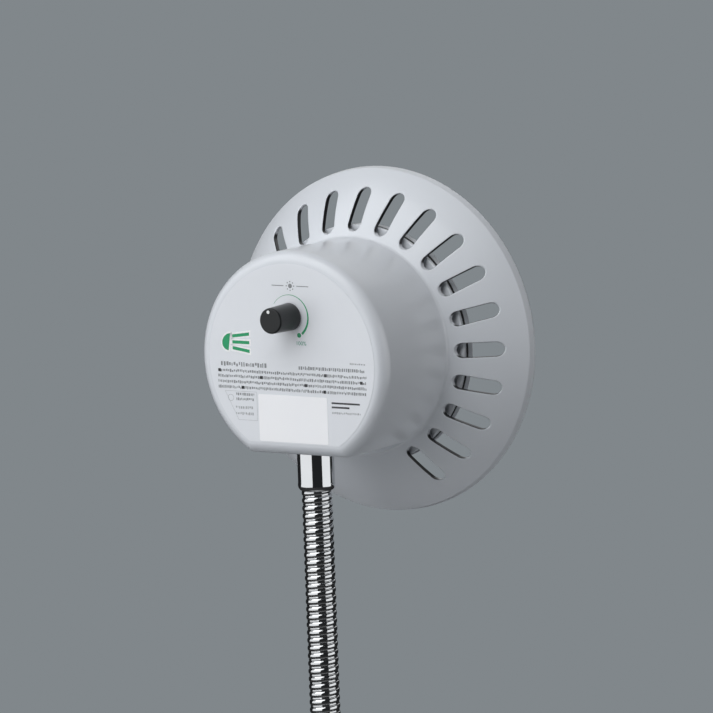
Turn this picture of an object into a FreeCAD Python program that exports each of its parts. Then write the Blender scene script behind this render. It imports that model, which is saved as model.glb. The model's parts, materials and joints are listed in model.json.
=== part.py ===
"""Examination lamp: an LED lamp head on a chrome gooseneck with a screw-down base.

Millimetres, +Z up. The origin is the centre of the base's underside, and the neck's
axis is the Z axis. The lamp shines towards +Y, and its control panel faces -Y.
The head is drawn about its own axis, the Y axis, with the shade's rear rim edge in the
plane y = 0, and is then lifted to its place on the neck by HEAD_PLACE.
"""
import FreeCAD, Part
import math
import os

V = FreeCAD.Vector
Y_AXIS = V(0, 1, 0)
Z_AXIS = V(0, 0, 1)

# ---------------------------------------------------------------- driving dimensions
RIM_R = 92.0            # shade's outer radius at its rear rim edge
DRUM_R = 58.0           # rear drum's outer radius
DRUM_LENGTH = 58.6      # drum, from its rear face to its front edge
SHADE_DEPTH = 27.0      # shade, from the drum to the rim edge
SKIRT = 5.5             # short skirt in front of the rim edge
WALL = 2.5              # plastic wall of drum and shade
NECK_R = 8.1            # gooseneck over its ridges
NECK_LENGTH = 400.0     # flexible length between the two ferrules
JOINT_COUNT = 8         # places where the stand-in neck hinges
BASE_R = 50.0           # screw-down base
BASE_H = 28.0           # top of the base's centre boss
FERRULE_LENGTH = 20.5   # both ferrules
GAP = 0.1               # easy fit between pieces that go together

# ---------------------------------------------------------------- worked-out places
WEB_Y = -SHADE_DEPTH - 2.0              # drum's front edge and shade's web meet here
FACE_Y = WEB_Y - DRUM_LENGTH            # drum's rear face
FLAT_Z = -0.8586 * DRUM_R               # flat chord under the drum
FACE_ROUND = 6.0                        # round of the drum's rear edge
CORNER_ROUND = 4.0                      # where the flat meets the round wall
NECK_Y = -68.2                          # neck axis in the head's own frame
NECK_BOTTOM = BASE_H + FERRULE_LENGTH   # flexible part starts here
NECK_TOP = NECK_BOTTOM + NECK_LENGTH
AXIS_Z = NECK_TOP + FERRULE_LENGTH - FLAT_Z
HEAD_PLACE = V(0, -NECK_Y, AXIS_Z)
SPACING = NECK_LENGTH / JOINT_COUNT
JOINT_Z = [NECK_BOTTOM + SPACING * (i + 0.5) for i in range(JOINT_COUNT)]

# gooseneck
VALLEY_R = NECK_R - 0.8     # between the ridges
NECK_BORE_R = 4.0
RIDGE_PITCH = 4.15
CUP_R = VALLEY_R + 0.3      # socket over the ball of the next length
CUP_LIP = 2.0               # socket's lip stays this far above the hinge point
BALL_NECK = 2.6             # plain length under the hinge point
LEAD_R = 3.0                # two-core lead inside the neck
LEAD_GAP = 1.0              # lead's upper end to the hinge point above it
LEAD_START = VALLEY_R + 0.2     # lead's lower end stays over the ball below it

# fittings on the neck's two ends
FERRULE_R = 9.75
TUBE_IN_FERRULE = 12.0
NIPPLE_R = 5.0
NIPPLE_BORE_R = 3.5
NIPPLE_IN_FERRULE = 7.0
NIPPLE_PROUD = 8.5          # from the wall's outside to its inner end
NUT_ACROSS_FLATS = 15.0
NUT_HEIGHT = 4.0
WASHER_R = 10.0
WASHER_THICK = 1.0

# vent slots: one every 15 degrees, with three places left out above the neck
SLOT_STEP = 15
SLOTS_LEFT_OUT = (255, 270, 285)
SLOT_WIDTH = 7.6
SLOT_IN_R = 61.0
SLOT_OUT_R = 82.5
SLOT_EDGE = 0.6
SHADE_BULGE = 2.2           # the flare is a shallow arc, not a straight cone

# dimmer: switch, shaft and knob
KNOB_Z = 23.8
KNOB_R = 7.3
KNOB_FRONT_R = 6.8
KNOB_LENGTH = 17.7
KNOB_CLEAR = 0.6            # knob's foot to the label
KNOB_REST_DEG = 14.0        # index dot, anticlockwise of upright as seen from behind
SHAFT_R = 3.0
BUSHING_R = 3.5
SWITCH_R = 8.5
SWITCH_DEPTH = 19.0

# driver board and what stands on it
BOARD_Y = -50.0             # component side
BOARD_THICK = 1.6
BOARD_HALF_X = 32.0
BOARD_BOTTOM_Z = -24.0
BOARD_TOP_Z = 26.0
POST_X = 28.0
POST_ROWS_Z = (-20.0, 21.5)

# light module, from the shade's web forwards
WEB_BORE_R = 44.0
RING_THICK = 1.5            # mounting ring on the front of the shade's web
RING_IN_R = 46.8
RING_OUT_R = 54.8
POST_R = 52.0
POST_ANGLES = (0, 120, 240)
BOSS_R = 51.5
BOSS_ANGLES = (45, 135, 215, 325)
BOSS_OUT_R = 4.2
RING_Y = WEB_Y + WALL
FRAME_Y = -19.8
FRAME_THICK = 2.4
FRAME_R = 64.0
FRAME_BORE_R = 47.0
SINK_R = 54.9
SINK_THICK = 3.0
SINK_FIN_END = -44.0
FIN_PITCH = 5.0
FIN_THICK = 1.6
LED_BOARD_R = 47.5
LED_RINGS = ((0.0, 1), (17.0, 6), (34.0, 12))
CUP_REAR_R = 2.8
CUP_FRONT_R = 7.8
REFLECTOR_DEPTH = 4.4
REFLECTOR_R = 54.9
SINK_Y = FRAME_Y + FRAME_THICK
LED_BOARD_Y = SINK_Y + SINK_THICK
LED_Y = LED_BOARD_Y + BOARD_THICK
BEZEL_REAR_Y = SINK_Y + 2.0
BEZEL_FRONT_Y = BEZEL_REAR_Y + 4.4
LENS_R = 57.4
LENS_WALL = 1.6
LENS_SHOULDER_Y = -6.5
LENS_APEX_Y = -3.5

# base
BASE_WALL = 3.0
BASE_SIDE_H = 18.0
BOSS_TOP_R = 14.0
PLATE_THICK = 2.0
FIXING_PCD = 80.0           # holes for the screws that hold the lamp down
FIXING_R = 2.75
FIXING_ANGLES = (90, 210, 330)
PLATE_SCREW_R = 36.0
PLATE_SCREW_ANGLES = (60, 180, 300)
GROMMET_Z = 8.0
GROMMET_BORE_R = 3.2
GROMMET_R = 4.4
LEAD_FOOT_Y = 18.0          # the lead turns towards the base's terminal block
LEAD_FOOT_Z = 7.5

# self-tapping screws
SCREW_R = 1.5
PILOT_R = 1.25
SCREW_HEAD_R = 2.9
SCREW_HEAD_H = 2.0
HOUSING_SCREW = 14.0        # lengths under the head
BOARD_SCREW = 9.0
MODULE_SCREW = 11.2


# ---------------------------------------------------------------- helpers
def turned(axis, start, *steps):
    """Solid of revolution. Points are (radius, place along axis). A step is a point,
    for a straight line, or a pair of points, for an arc through the first to the second.
    """
    def at(point):
        if axis == Y_AXIS:
            return V(point[0], point[1], 0)
        return V(point[0], 0, point[1])

    edges = []
    here = at(start)
    for step in steps + (start,):
        if isinstance(step[0], tuple):
            through, there = at(step[0]), at(step[1])
            edges.append(Part.Arc(here, through, there).toShape())
        else:
            there = at(step)
            edges.append(Part.LineSegment(here, there).toShape())
        here = there
    face = Part.Face(Part.Wire(edges))
    return face.revolve(V(0, 0, 0), axis, 360)


def rod(axis, radius, start, end, x=0.0, across=0.0):
    """Cylinder along Y at (x, z = across), or along Z at (x, y = across)."""
    if axis == Y_AXIS:
        foot = V(x, start, across)
    else:
        foot = V(x, across, start)
    return Part.makeCylinder(radius, end - start, foot, axis)


def pipe(axis, outer, inner, start, end, x=0.0, across=0.0):
    return rod(axis, outer, start, end, x, across).cut(
        rod(axis, inner, start - 1, end + 1, x, across))


def block(x0, x1, y0, y1, z0, z1):
    return Part.makeBox(x1 - x0, y1 - y0, z1 - z0, V(x0, y0, z0))


def around(radius, degrees):
    """Point on a circle about the lamp's axis, as (x, z)."""
    angle = math.radians(degrees)
    return radius * math.cos(angle), radius * math.sin(angle)


def hexagon(axis, across_flats, start, height, x=0.0, across=0.0):
    corner_r = across_flats / math.sqrt(3)
    points = []
    for i in range(7):
        u, w = around(corner_r, 60 * i)
        if axis == Y_AXIS:
            points.append(V(x + u, start, across + w))
        else:
            points.append(V(x + u, across + w, start))
    return Part.Face(Part.makePolygon(points)).extrude(axis * height)


def d_prism(radius, flat_z, start, end, corner):
    """Round bar along Y with a flat along its underside and rounded flat corners."""
    bar = rod(Y_AXIS, radius, start, end)
    keep = block(-2 * radius, 2 * radius, start, end, flat_z, 2 * radius)
    bar = bar.common(keep)
    corners = [e for e in bar.Edges
               if abs(e.CenterOfMass.z - flat_z) < 0.01 and abs(e.CenterOfMass.x) > 1
               and abs(e.Length - (end - start)) < 0.01]
    return bar.makeFillet(corner, corners)


def edges_in_plane(shape, y):
    return [e for e in shape.Edges
            if abs(e.BoundBox.YMin - y) < 0.01 and abs(e.BoundBox.YMax - y) < 0.01]


def screw(head_y, length, x, z):
    """Pan-head screw along the lamp's axis, driven from the front."""
    head = rod(Y_AXIS, SCREW_HEAD_R, head_y, head_y + SCREW_HEAD_H, x, z)
    top = edges_in_plane(head, head_y + SCREW_HEAD_H)
    head = head.makeFillet(0.8, top)
    slot = rod(Y_AXIS, 1.0, head_y + 0.8, head_y + SCREW_HEAD_H + 1, x, z)
    shank = rod(Y_AXIS, PILOT_R - 0.02, head_y - length, head_y, x, z)
    return head.cut(slot).fuse(shank)


def cable(points, radius):
    """Round cable along straight runs joined by tangent arcs."""
    edges = []
    here = points[0]
    for before, corner, after in zip(points, points[1:], points[2:]):
        back = (before - corner).normalize()
        ahead = (after - corner).normalize()
        half_turn = (math.pi - back.getAngle(ahead)) / 2
        run = 0.45 * min((before - corner).Length, (after - corner).Length)
        bend_r = run / math.tan(half_turn)
        middle = (back + ahead).normalize()
        reach = bend_r / math.cos(half_turn) - bend_r
        start, end = corner + back * run, corner + ahead * run
        edges.append(Part.LineSegment(here, start).toShape())
        edges.append(Part.Arc(start, corner + middle * reach, end).toShape())
        here = end
    edges.append(Part.LineSegment(here, points[-1]).toShape())
    route = Part.Wire(edges)
    direction = points[1] - points[0]
    ring = Part.Wire(Part.makeCircle(radius, points[0], direction))
    return route.makePipeShell([ring], True, True)


def in_head(shape):
    return shape.translated(HEAD_PLACE)


# ---------------------------------------------------------------- drum and shade
def rear_housing():
    """Deep drum: closed rear face, flat underside, bosses and board posts inside."""
    outer = d_prism(DRUM_R, FLAT_Z, FACE_Y, WEB_Y, CORNER_ROUND)
    outer = outer.makeFillet(FACE_ROUND, edges_in_plane(outer, FACE_Y))
    inner_face = FACE_Y + WALL
    inner = d_prism(DRUM_R - WALL, FLAT_Z + WALL, inner_face, WEB_Y + 1, CORNER_ROUND)
    inner = inner.makeFillet(FACE_ROUND - WALL, edges_in_plane(inner, inner_face))
    drum = outer.cut(inner)
    rear_of_posts = inner_face - 0.5
    for x, z in boss_places():
        boss = rod(Y_AXIS, BOSS_OUT_R, rear_of_posts, WEB_Y, x, z)
        drum = drum.fuse(boss.common(outer))
        drum = drum.cut(rod(Y_AXIS, PILOT_R, WEB_Y - HOUSING_SCREW, WEB_Y + 1, x, z))
    for x, z in board_fixings():
        drum = drum.fuse(rod(Y_AXIS, 3.4, rear_of_posts, BOARD_Y, x, z))
        drum = drum.cut(rod(Y_AXIS, PILOT_R, BOARD_Y - BOARD_SCREW - 1, BOARD_Y + 1, x, z))
    drum = drum.cut(rod(Y_AXIS, BUSHING_R + GAP, FACE_Y - 1, inner_face + 1, 0, KNOB_Z))
    drum = drum.cut(rod(Z_AXIS, NIPPLE_R + GAP, FLAT_Z - 1, FLAT_Z + WALL + 1, 0, NECK_Y))
    return drum.removeSplitter()


def flare_points():
    """Start, middle and end of the flare's outer arc, and the way out of its surface."""
    start, end = (DRUM_R, -SHADE_DEPTH), (RIM_R, 0.0)
    length = math.hypot(end[0] - start[0], end[1] - start[1])
    out = ((end[1] - start[1]) / length, -(end[0] - start[0]) / length)
    middle = ((start[0] + end[0]) / 2 + SHADE_BULGE * out[0],
              (start[1] + end[1]) / 2 + SHADE_BULGE * out[1])
    return start, middle, end, out


def shade():
    """Flared shade with vent slots, a skirt, and a web that screws to the drum."""
    start, middle, end, out = flare_points()

    def inside(point):
        return point[0] - WALL * out[0], point[1] - WALL * out[1]

    skirt_out, skirt_in = RIM_R + 0.65, RIM_R - 1.75
    flare = turned(
        Y_AXIS, (WEB_BORE_R, WEB_Y), (DRUM_R, WEB_Y), start, (middle, end),
        (skirt_out, SKIRT), (skirt_in, SKIRT), (skirt_in, inside(end)[1]),
        (inside(middle), inside(start)), (inside(start)[0] - 1.5, RING_Y),
        (WEB_BORE_R, RING_Y))

    def circles(radius, y):
        return [e for e in flare.Edges if abs(e.BoundBox.YMax - y) < 0.02
                and abs(e.BoundBox.YMin - y) < 0.02 and abs(e.BoundBox.XMax - radius) < 0.02]

    flare = flare.makeFillet(2.0, circles(*start))
    flare = flare.makeFillet(1.2, circles(*end))
    flare = flare.makeFillet(1.0, circles(skirt_out, SKIRT) + circles(skirt_in, SKIRT))
    flare = cut_slots(flare).fuse(spigot())
    for x, z in boss_places():
        flare = flare.cut(rod(Y_AXIS, SCREW_R + GAP, WEB_Y - 1, RING_Y + 1, x, z))
    return flare.removeSplitter()


def spigot():
    """D-shaped rib behind the web that locates the shade in the drum's mouth."""
    ease, rib, length = 0.3, 1.8, 7.0
    outset = WALL + ease
    inset = outset + rib
    ring = d_prism(DRUM_R - outset, FLAT_Z + outset, WEB_Y - length, WEB_Y + 1, 3.5)
    ring = ring.cut(d_prism(DRUM_R - inset, FLAT_Z + inset, WEB_Y - length - 1, WEB_Y + 2, 2.5))
    for x, z in boss_places():
        ring = ring.cut(rod(Y_AXIS, BOSS_OUT_R + 0.4, WEB_Y - length - 1, WEB_Y, x, z))
    return ring


def boss_places():
    return [around(BOSS_R, degrees) for degrees in BOSS_ANGLES]


def post_places():
    return [around(POST_R, degrees) for degrees in POST_ANGLES]


def mounting_ring():
    """Ring on the web's front. Its posts carry the light module."""
    ring = pipe(Y_AXIS, RING_OUT_R, RING_IN_R, RING_Y, RING_Y + RING_THICK)
    post_out_r, thread_depth = 2.6, 6.1
    for x, z in post_places():
        ring = ring.fuse(rod(Y_AXIS, post_out_r, RING_Y, FRAME_Y, x, z))
        ring = ring.cut(rod(Y_AXIS, PILOT_R, FRAME_Y - thread_depth, FRAME_Y + 1, x, z))
    for x, z in boss_places():
        ring = ring.cut(rod(Y_AXIS, SCREW_R + GAP, RING_Y - 1, FRAME_Y, x, z))
    return ring.removeSplitter()


def cut_slots(flare):
    """Round-ended radial slots, moulded along the lamp's axis, with eased outer edges."""
    half = SLOT_WIDTH / 2
    low, high = -SHADE_DEPTH - 10, 10.0
    pattern = block(SLOT_IN_R + half, SLOT_OUT_R - half, low, high, -half, half)
    for x in (SLOT_IN_R + half, SLOT_OUT_R - half):
        pattern = pattern.fuse(rod(Y_AXIS, half, low, high, x))
    pattern = pattern.removeSplitter()
    for degrees in range(0, 360, SLOT_STEP):
        if degrees in SLOTS_LEFT_OUT:
            continue
        cutter = pattern.copy()
        cutter.rotate(V(0, 0, 0), Y_AXIS, -degrees)
        flare = flare.cut(cutter)

    start, middle, end, out = flare_points()
    arc = Part.Arc(V(*start, 0), V(*middle, 0), V(*end, 0)).toShape().Curve

    def on_outer_face(point):
        r = math.hypot(point.x, point.z)
        reach = math.hypot(r - arc.Center.x, point.y - arc.Center.y)
        return abs(reach - arc.Radius) < 0.02 and SLOT_IN_R - 0.2 < r < SLOT_OUT_R + 0.2

    rims = [e for e in flare.Edges if all(on_outer_face(e.valueAt(t)) for t in (
        e.FirstParameter, (e.FirstParameter + e.LastParameter) / 2, e.LastParameter))]
    return flare.makeFillet(SLOT_EDGE, rims)


def housing_screws():
    head_y = RING_Y + RING_THICK
    return Part.makeCompound([screw(head_y, HOUSING_SCREW, x, z) for x, z in boss_places()])


def control_label():
    """Printed film over the flat part of the rear face."""
    inset = FACE_ROUND + 0.4
    sheet = d_prism(DRUM_R - inset, FLAT_Z + inset, FACE_Y - FILM, FACE_Y, 2.5)
    return sheet.cut(rod(Y_AXIS, BUSHING_R + 0.3, FACE_Y - 1, FACE_Y + 1, 0, KNOB_Z))


def rating_sticker():
    """Blank sticker on the lower middle of the film."""
    width, height, bottom, paper = 43.1, 24.8, -42.8, 0.1
    front = FACE_Y - FILM
    sheet = block(-width / 2, width / 2, front - paper, front, bottom, bottom + height)
    upright = [e for e in sheet.Edges if abs(e.Length - paper) < 0.001]
    return sheet.makeFillet(0.8, upright)


# ---------------------------------------------------------------- dimmer
FILM = 0.15                 # thickness of the printed film under the washer
WASHER = 0.5
SHAFT_OUT = 14.0            # the shaft stands this far out of the rear face
FLAT_RISE = 1.5             # from the shaft's axis to its flat
LUG_PLACES = (-5, 0, 5)
LUG_Y = 3.0                 # lugs start this far inside the rear wall
LUG_DROP = 4.0              # and reach this far below the switch


def dimmer_switch():
    """Rotary dimmer with its on-off switch, held in the rear face by its bushing."""
    front = FACE_Y + WALL
    body = rod(Y_AXIS, SWITCH_R, front, front + SWITCH_DEPTH, 0, KNOB_Z)
    body = body.makeFillet(0.6, edges_in_plane(body, front + SWITCH_DEPTH))
    bushing = rod(Y_AXIS, BUSHING_R, FACE_Y - 3.2, front, 0, KNOB_Z)
    half, thick = 1.2, 0.8
    lugs = [block(x - half, x + half, front + LUG_Y, front + LUG_Y + thick,
                  KNOB_Z - SWITCH_R - LUG_DROP, KNOB_Z - SWITCH_R + 1) for x in LUG_PLACES]
    body = body.fuse([bushing] + lugs)
    return body.cut(rod(Y_AXIS, SHAFT_R + 0.05, FACE_Y - 5, front + 8, 0, KNOB_Z))


def dimmer_washer():
    outer_r, rear = 5.6, FACE_Y - FILM
    return pipe(Y_AXIS, outer_r, BUSHING_R + 0.05, rear - WASHER, rear, 0, KNOB_Z)


def dimmer_nut():
    height, across = 2.0, 9.5
    start = FACE_Y - FILM - WASHER - height
    nut = hexagon(Y_AXIS, across, start, height, 0, KNOB_Z)
    return nut.cut(rod(Y_AXIS, BUSHING_R + 0.02, start - 1, start + height + 1, 0, KNOB_Z))


def dimmer_shaft():
    """Plain shaft with a flat, running in the bushing."""
    tip = FACE_Y - SHAFT_OUT
    shaft = rod(Y_AXIS, SHAFT_R, tip, FACE_Y + WALL + 7.5, 0, KNOB_Z)
    flat = block(-4, 4, tip - 1, FACE_Y - 4, KNOB_Z + FLAT_RISE, KNOB_Z + 5)
    return shaft.cut(flat)


def dimmer_knob():
    """Slightly tapered knob, hollow over the nut, with a D bore for the shaft."""
    foot = FACE_Y - KNOB_CLEAR
    tip = foot - KNOB_LENGTH
    ease = 0.9
    near_tip = (KNOB_FRONT_R, tip + ease)
    corner = (KNOB_FRONT_R - 0.29 * ease, tip + 0.29 * ease)
    grip = turned(Y_AXIS, (0, tip), (KNOB_FRONT_R - ease, tip), (corner, near_tip),
                  (KNOB_R, foot), (0, foot))
    grip = grip.translated(V(0, 0, KNOB_Z))
    nut_room_r, nut_room = 6.0, 3.0
    grip = grip.cut(rod(Y_AXIS, nut_room_r, foot - nut_room, foot + 1, 0, KNOB_Z))
    bore = rod(Y_AXIS, SHAFT_R + 0.02, FACE_Y - SHAFT_OUT - 0.5, foot, 0, KNOB_Z)
    flat = block(-4, 4, FACE_Y - SHAFT_OUT - 1, FACE_Y - 4, KNOB_Z + FLAT_RISE + 0.02,
                 KNOB_Z + 5)
    grip = grip.cut(bore.cut(flat))
    return grip.cut(index_dot_blank(0.05))


def index_dot_blank(ease):
    """Round inlay near the edge of the knob's face, at the angle it rests at."""
    tip = FACE_Y - KNOB_CLEAR - KNOB_LENGTH
    x, z = around(KNOB_FRONT_R - 2.0, 90 + KNOB_REST_DEG)
    return rod(Y_AXIS, 0.9 + ease, tip, tip + 0.6 + ease, x, KNOB_Z + z)


def knob_index_dot():
    return index_dot_blank(0.0)


# ---------------------------------------------------------------- driver electronics
def driver_board():
    board = block(-BOARD_HALF_X, BOARD_HALF_X, BOARD_Y, BOARD_Y + BOARD_THICK,
                  BOARD_BOTTOM_Z, BOARD_TOP_Z)
    upright = [e for e in board.Edges if abs(e.Length - BOARD_THICK) < 0.001]
    board = board.makeFillet(2.0, upright)
    for x, z in board_fixings():
        hole = rod(Y_AXIS, SCREW_R + GAP, BOARD_Y - 1, BOARD_Y + BOARD_THICK + 1, x, z)
        board = board.cut(hole)
    return board


def board_fixings():
    return [(x, z) for z in POST_ROWS_Z for x in (-POST_X, POST_X)]


def driver_screws():
    head_y = BOARD_Y + BOARD_THICK
    return Part.makeCompound([screw(head_y, BOARD_SCREW, x, z) for x, z in board_fixings()])


def driver_transformer():
    """Ferrite core around a taped winding on a bobbin."""
    left, right, low, high, depth, inset = -22, 0, -14, 6, 18, 3
    core = block(left, right, BOARD_Y - depth, BOARD_Y - 2, low, high)
    winding = block(left + inset, right - inset, BOARD_Y - depth - 1.5, BOARD_Y - 0.5,
                    low + inset, high - inset)
    winding = winding.makeFillet(2.0, winding.Edges)
    foot = block(left + 1, right - 1, BOARD_Y - 2, BOARD_Y, low + 2, high - 2)
    return core.fuse([winding, foot])


def driver_capacitors():
    """Two electrolytic cans standing on the board."""
    cans = []
    for x, z, radius, height in ((10.0, -4.0, 6.3, 20.0), (23.5, -2.0, 5.0, 16.0)):
        can = rod(Y_AXIS, radius, BOARD_Y - height, BOARD_Y, x, z)
        can = can.makeFillet(0.8, edges_in_plane(can, BOARD_Y - height))
        groove = pipe(Y_AXIS, radius + 1, radius - 0.4, BOARD_Y - 2.6, BOARD_Y - 1.8, x, z)
        cans.append(can.cut(groove))
    return Part.makeCompound(cans)


def driver_choke():
    """Toroidal choke lying on the board, below the dimmer's lugs."""
    middle, ring_r, bar_r = V(-11, BOARD_Y - 3.6, 15.5), 5.4, 3.0
    ring = Part.makeTorus(ring_r, bar_r, middle, Y_AXIS)
    foot = rod(Y_AXIS, 6.5, BOARD_Y - 1.5, BOARD_Y, middle.x, middle.z)
    return ring.fuse(foot)


def terminal_block(x0, y0, z0, height):
    """Two-way screw terminal, 15 wide and 10 deep, without its wire mouths."""
    return block(x0, x0 + 15, y0, y0 + 10, z0, z0 + height)


def driver_terminal_block():
    """Wires enter from below, and the clamp screws face the control panel."""
    x0, y0, z0, height = 6.0, BOARD_Y - 10, -22.0, 9.0
    body = terminal_block(x0, y0, z0, height)
    for x in (x0 + 4, x0 + 11):
        body = body.cut(rod(Z_AXIS, 1.7, z0 - 1, z0 + 4, x, y0 + 3.5))
        body = body.cut(rod(Y_AXIS, 1.8, y0 - 1, y0 + 2, x, z0 + 5.5))
    return body


def led_wires():
    """Pair of wires from the driver board through the heat sink to the LED board."""
    pair = [rod(Y_AXIS, 0.8, BOARD_Y + BOARD_THICK, LED_BOARD_Y, x, 0) for x in (-1.2, 1.2)]
    return Part.makeCompound(pair)


def dimmer_wires():
    """Three wires from the dimmer's lugs down to the board."""
    lug = V(0, FACE_Y + WALL + LUG_Y + 0.4, KNOB_Z - SWITCH_R - LUG_DROP)
    foot = V(18, BOARD_Y, 11.5)
    route = [lug, lug - V(0, 0, 5), foot - V(6, 18, 3), foot - V(0, 9, 0), foot]
    wires = [cable([point + V(x, 0, 0) for point in route], 0.8) for x in LUG_PLACES]
    return Part.makeCompound(wires)


# ---------------------------------------------------------------- light module
def module_frame():
    """White ring behind the lens, with a low rib that the bezel snaps over."""
    flange = pipe(Y_AXIS, FRAME_R, FRAME_BORE_R, FRAME_Y, SINK_Y)
    outer_edges = [e for e in flange.Edges if abs(e.BoundBox.XMax - FRAME_R) < 0.01
                   and abs(e.BoundBox.YMax - e.BoundBox.YMin) < 0.01]
    flange = flange.makeFillet(0.5, outer_edges)
    frame = flange.fuse(pipe(Y_AXIS, 61.6, 60.6, SINK_Y - 0.5, BEZEL_REAR_Y - 0.2))
    for x, z in post_places():
        frame = frame.cut(rod(Y_AXIS, SCREW_R + GAP, FRAME_Y - 1, SINK_Y + 1, x, z))
    return frame


def heat_sink():
    """Disc with upright fins that reach back through the shade's web."""
    disc = rod(Y_AXIS, SINK_R, SINK_Y, LED_BOARD_Y)
    wide = rod(Y_AXIS, FRAME_BORE_R - 0.8, WEB_Y + WALL + 0.4, SINK_Y + 0.5)
    deep = rod(Y_AXIS, 38.8, SINK_FIN_END, SINK_Y)
    room = wide.fuse(deep)
    count = int((FRAME_BORE_R - 3) / FIN_PITCH)
    fins = []
    for i in range(-count, count + 1):
        x = i * FIN_PITCH
        fins.append(block(x - FIN_THICK / 2, x + FIN_THICK / 2,
                          SINK_FIN_END, SINK_Y + 0.5, -FRAME_BORE_R, FRAME_BORE_R))
    sink = disc.fuse([fin.common(room) for fin in fins])
    for x, z in post_places():
        sink = sink.cut(rod(Y_AXIS, SCREW_R + GAP, SINK_Y - 1, LED_BOARD_Y + 1, x, z))
    return sink.cut(rod(Y_AXIS, 2.6, SINK_FIN_END - 1, LED_BOARD_Y + 1)).removeSplitter()


def module_screws():
    return Part.makeCompound([screw(LED_BOARD_Y, MODULE_SCREW, x, z)
                              for x, z in post_places()])


def led_board():
    return rod(Y_AXIS, LED_BOARD_R, LED_BOARD_Y, LED_Y)


def led_places():
    places = []
    for radius, count in LED_RINGS:
        places += [around(radius, 360.0 * i / count) for i in range(count)]
    return places


def led_chips():
    """Square packages with a small dome each."""
    chips = []
    for x, z in led_places():
        package = block(x - 1.75, x + 1.75, LED_Y, LED_Y + 0.8, z - 1.75, z + 1.75)
        dome = Part.makeSphere(1.3, V(x, LED_Y + 0.8, z))
        dome = dome.common(block(x - 2, x + 2, LED_Y + 0.5, LED_Y + 3, z - 2, z + 2))
        chips.append(package.fuse(dome))
    return Part.makeCompound(chips)


def reflector_plate():
    """Plated plate with one flared cup over each LED and a bevelled rim."""
    front = LED_Y + REFLECTOR_DEPTH
    rim = 1.2
    plate = turned(Y_AXIS, (0, LED_Y), (LED_BOARD_R - 0.5, LED_Y),
                   (REFLECTOR_R, front - rim), (REFLECTOR_R, front), (0, front))
    for x, z in led_places():
        cup = Part.makeCone(CUP_REAR_R, CUP_FRONT_R, REFLECTOR_DEPTH,
                            V(x, LED_Y, z), Y_AXIS)
        plate = plate.cut(cup)
    return plate


def dome_middle(edge_r, edge_y, apex_y):
    """Point halfway along a dome's arc. The arc's centre is on the lamp's axis."""
    rise = apex_y - edge_y
    dome_r = (edge_r ** 2 + rise ** 2) / (2 * rise)
    half_angle = math.asin(edge_r / dome_r) / 2
    return dome_r * math.sin(half_angle), apex_y - dome_r * (1 - math.cos(half_angle))


def front_lens():
    """Clear cover: a foot ring under the bezel, a short wall and a shallow dome."""
    foot_rear, foot_front, foot_r = BEZEL_REAR_Y - 0.2, BEZEL_FRONT_Y - 1.1, 61.3
    inner_r = LENS_R - LENS_WALL
    inner_edge_y, inner_apex_y = LENS_SHOULDER_Y - LENS_WALL, LENS_APEX_Y - LENS_WALL
    ease = 1.4
    shoulder = LENS_R - ease
    outer_corner = (shoulder + 0.7071 * ease, LENS_SHOULDER_Y - ease * 0.2929)
    return turned(
        Y_AXIS, (0, LENS_APEX_Y),
        (dome_middle(shoulder, LENS_SHOULDER_Y, LENS_APEX_Y), (shoulder, LENS_SHOULDER_Y)),
        (outer_corner, (LENS_R, LENS_SHOULDER_Y - ease)), (LENS_R, foot_front),
        (foot_r, foot_front), (foot_r, foot_rear), (inner_r, foot_rear),
        (inner_r, inner_edge_y),
        (dome_middle(inner_r, inner_edge_y, inner_apex_y), (0, inner_apex_y)))


def lens_gasket():
    return pipe(Y_AXIS, 63.7, 62.9, SINK_Y, BEZEL_REAR_Y)


def lens_bezel():
    """Bright ring: a skirt that snaps over the frame's rib and a lip over the lens."""
    lip_rear = BEZEL_FRONT_Y - 1.0
    ease = 0.8
    outer_r, lip_r = 63.9, LENS_R + 0.3
    return turned(
        Y_AXIS, (61.7, SINK_Y + 0.2), (62.8, SINK_Y + 0.2), (62.8, BEZEL_REAR_Y),
        (outer_r, BEZEL_REAR_Y), (outer_r, BEZEL_FRONT_Y - ease),
        ((outer_r - 0.2929 * ease, BEZEL_FRONT_Y - 0.2929 * ease),
         (outer_r - ease, BEZEL_FRONT_Y)),
        (lip_r, BEZEL_FRONT_Y), (lip_r, lip_rear), (61.7, lip_rear))


# ---------------------------------------------------------------- neck fittings
def ferrule(wall_z, way):
    """Chrome sleeve on the wall at wall_z. Its tube end points along way, +1 up or -1."""
    tip = wall_z + way * FERRULE_LENGTH
    shoulder = wall_z + way * 0.82 * FERRULE_LENGTH
    ease = wall_z + way * 0.95 * FERRULE_LENGTH
    sleeve = turned(
        Z_AXIS, (0, wall_z), (FERRULE_R, wall_z), (FERRULE_R, shoulder),
        ((FERRULE_R - 0.22, ease), (NECK_R + 0.7, tip)), (0, tip))
    low, high = sorted((tip - way * TUBE_IN_FERRULE, tip + way))
    sleeve = sleeve.cut(rod(Z_AXIS, VALLEY_R + 0.05, low, high))
    low, high = sorted((wall_z - way, wall_z + way * FERRULE_LENGTH))
    return sleeve.cut(rod(Z_AXIS, NIPPLE_R + 0.02, low, high))


def nipple(wall_z, way):
    """Threaded tube that joins a ferrule to the wall it stands on."""
    low, high = sorted((wall_z + way * NIPPLE_IN_FERRULE, wall_z - way * NIPPLE_PROUD))
    return pipe(Z_AXIS, NIPPLE_R, NIPPLE_BORE_R, low, high)


def washer(seat_z, way):
    low, high = sorted((seat_z, seat_z - way * WASHER_THICK))
    return pipe(Z_AXIS, WASHER_R, NIPPLE_R + 0.1, low, high)


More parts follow.
